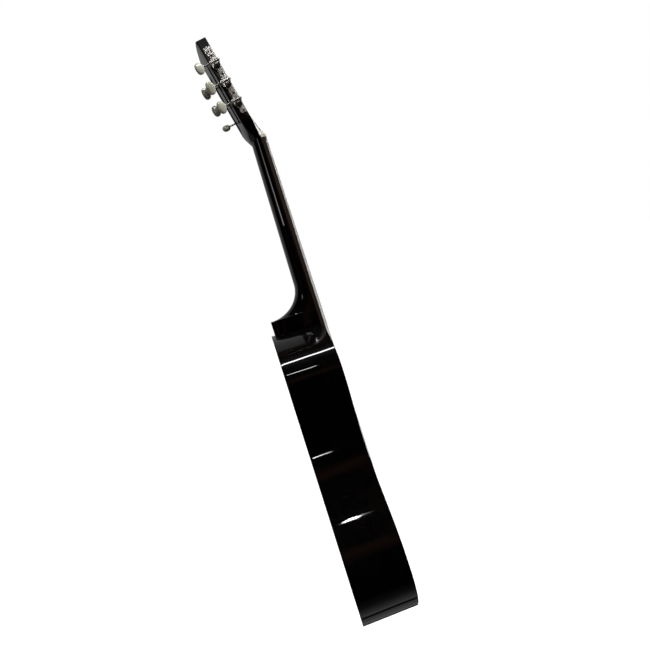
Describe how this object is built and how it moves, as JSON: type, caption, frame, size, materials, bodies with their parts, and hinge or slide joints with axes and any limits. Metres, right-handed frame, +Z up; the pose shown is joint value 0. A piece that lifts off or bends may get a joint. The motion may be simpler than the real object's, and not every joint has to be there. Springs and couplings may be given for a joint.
{
  "type": "classical guitar",
  "caption": "Six-string classical guitar: figure-eight sound box, neck with frets, slotted headstock and geared tuning machines.",
  "frame": {"origin": "on the centre line at the fretboard side of the nut, level with the soundboard's outer face, where a wall hanger's yoke takes the head", "axes": "+Z up the neck from the body to the head, +X to the treble side, +Y from the soundboard to the back"},
  "size_m": [0.37, 0.102, 1.0011],
  "materials": {
    "body_lacquer": "black polyester lacquer, mirror gloss",
    "inner_wood": "bare spruce and mahogany, sanded",
    "fretboard_wood": "dark stained hardwood, oiled",
    "bone": "bone-coloured plastic, polished",
    "rosette_inlay": "inlaid rings under lacquer",
    "pin_plastic": "black plastic, moulded",
    "nickel_plate": "nickel-plated steel, engraved",
    "steel": "nickel-plated, turned",
    "gear_brass": "cut brass, darkened",
    "post_sleeve": "ivory-coloured sleeve on a steel post",
    "pearl_button": "cream pearloid, polished",
    "wound_string": "silvered copper winding on a floss core",
    "nylon_string": "clear nylon"
  },
  "bodies": {
    "guitar": {"soundboard": "body_lacquer", "rosette": "rosette_inlay", "back": "body_lacquer", "rib_bass": "body_lacquer", "rib_treble": "body_lacquer", "binding_front": "body_lacquer", "binding_back": "body_lacquer", "lining_front": "inner_wood", "lining_back": "inner_wood", "neck_block": "inner_wood", "tail_block": "inner_wood", "front_bracing": "inner_wood", "back_bracing": "inner_wood", "end_pin": "pin_plastic", "neck": "body_lacquer", "heel_cap": "body_lacquer", "fretboard": "fretboard_wood", "nut": "bone", "headstock": "body_lacquer", "headstock_veneer": "body_lacquer", "tuner_plate_bass": "nickel_plate", "tuner_plate_treble": "nickel_plate", "bridge": "fretboard_wood", "saddle": "bone", "string_1": "nylon_string", "string_2": "nylon_string", "string_3": "nylon_string", "string_4": "wound_string", "string_5": "wound_string", "string_6": "wound_string"},
    "key_bass_1": {"worm_bass_1": "steel", "button_bass_1": "pearl_button"},
    "roller_bass_1": {"post_bass_1": "post_sleeve", "gear_bass_1": "gear_brass", "gear_screw_bass_1": "steel"},
    "key_bass_2": {"worm_bass_2": "steel", "button_bass_2": "pearl_button"},
    "roller_bass_2": {"post_bass_2": "post_sleeve", "gear_bass_2": "gear_brass", "gear_screw_bass_2": "steel"},
    "key_bass_3": {"worm_bass_3": "steel", "button_bass_3": "pearl_button"},
    "roller_bass_3": {"post_bass_3": "post_sleeve", "gear_bass_3": "gear_brass", "gear_screw_bass_3": "steel"},
    "key_treble_1": {"worm_treble_1": "steel", "button_treble_1": "pearl_button"},
    "roller_treble_1": {"post_treble_1": "post_sleeve", "gear_treble_1": "gear_brass", "gear_screw_treble_1": "steel"},
    "key_treble_2": {"worm_treble_2": "steel", "button_treble_2": "pearl_button"},
    "roller_treble_2": {"post_treble_2": "post_sleeve", "gear_treble_2": "gear_brass", "gear_screw_treble_2": "steel"},
    "key_treble_3": {"worm_treble_3": "steel", "button_treble_3": "pearl_button"},
    "roller_treble_3": {"post_treble_3": "post_sleeve", "gear_treble_3": "gear_brass", "gear_screw_treble_3": "steel"}
  },
  "joints": [
    {"name": "turn_key_bass_1", "type": "hinge", "parent": "guitar", "child": "key_bass_1", "pos_m": [-0.04345, 0.01418, 0.06395], "axis": [0, 0.9763, -0.2164], "continuous": true},
    {"name": "turn_roller_bass_1", "type": "hinge", "parent": "guitar", "child": "roller_bass_1", "pos_m": [0, 0.01992, 0.0552], "axis": [1, 0, 0], "continuous": true},
    {"name": "turn_key_bass_2", "type": "hinge", "parent": "guitar", "child": "key_bass_2", "pos_m": [-0.04345, 0.02175, 0.09812], "axis": [0, 0.9763, -0.2164], "continuous": true},
    {"name": "turn_roller_bass_2", "type": "hinge", "parent": "guitar", "child": "roller_bass_2", "pos_m": [0, 0.02749, 0.08937], "axis": [1, 0, 0], "continuous": true},
    {"name": "turn_key_bass_3", "type": "hinge", "parent": "guitar", "child": "key_bass_3", "pos_m": [-0.04345, 0.02933, 0.13229], "axis": [0, 0.9763, -0.2164], "continuous": true},
    {"name": "turn_roller_bass_3", "type": "hinge", "parent": "guitar", "child": "roller_bass_3", "pos_m": [0, 0.03507, 0.12354], "axis": [1, 0, 0], "continuous": true},
    {"name": "turn_key_treble_1", "type": "hinge", "parent": "guitar", "child": "key_treble_1", "pos_m": [0.04345, 0.01418, 0.06395], "axis": [0, 0.9763, -0.2164], "continuous": true},
    {"name": "turn_roller_treble_1", "type": "hinge", "parent": "guitar", "child": "roller_treble_1", "pos_m": [0, 0.01992, 0.0552], "axis": [1, 0, 0], "continuous": true},
    {"name": "turn_key_treble_2", "type": "hinge", "parent": "guitar", "child": "key_treble_2", "pos_m": [0.04345, 0.02175, 0.09812], "axis": [0, 0.9763, -0.2164], "continuous": true},
    {"name": "turn_roller_treble_2", "type": "hinge", "parent": "guitar", "child": "roller_treble_2", "pos_m": [0, 0.02749, 0.08937], "axis": [1, 0, 0], "continuous": true},
    {"name": "turn_key_treble_3", "type": "hinge", "parent": "guitar", "child": "key_treble_3", "pos_m": [0.04345, 0.02933, 0.13229], "axis": [0, 0.9763, -0.2164], "continuous": true},
    {"name": "turn_roller_treble_3", "type": "hinge", "parent": "guitar", "child": "roller_treble_3", "pos_m": [0, 0.03507, 0.12354], "axis": [1, 0, 0], "continuous": true}
  ],
  "couplings": [
    {"joint": "turn_roller_bass_1", "follows": "turn_key_bass_1", "ratio": 0.071429},
    {"joint": "turn_roller_bass_2", "follows": "turn_key_bass_2", "ratio": 0.071429},
    {"joint": "turn_roller_bass_3", "follows": "turn_key_bass_3", "ratio": 0.071429},
    {"joint": "turn_roller_treble_1", "follows": "turn_key_treble_1", "ratio": -0.071429},
    {"joint": "turn_roller_treble_2", "follows": "turn_key_treble_2", "ratio": -0.071429},
    {"joint": "turn_roller_treble_3", "follows": "turn_key_treble_3", "ratio": -0.071429}
  ]
}
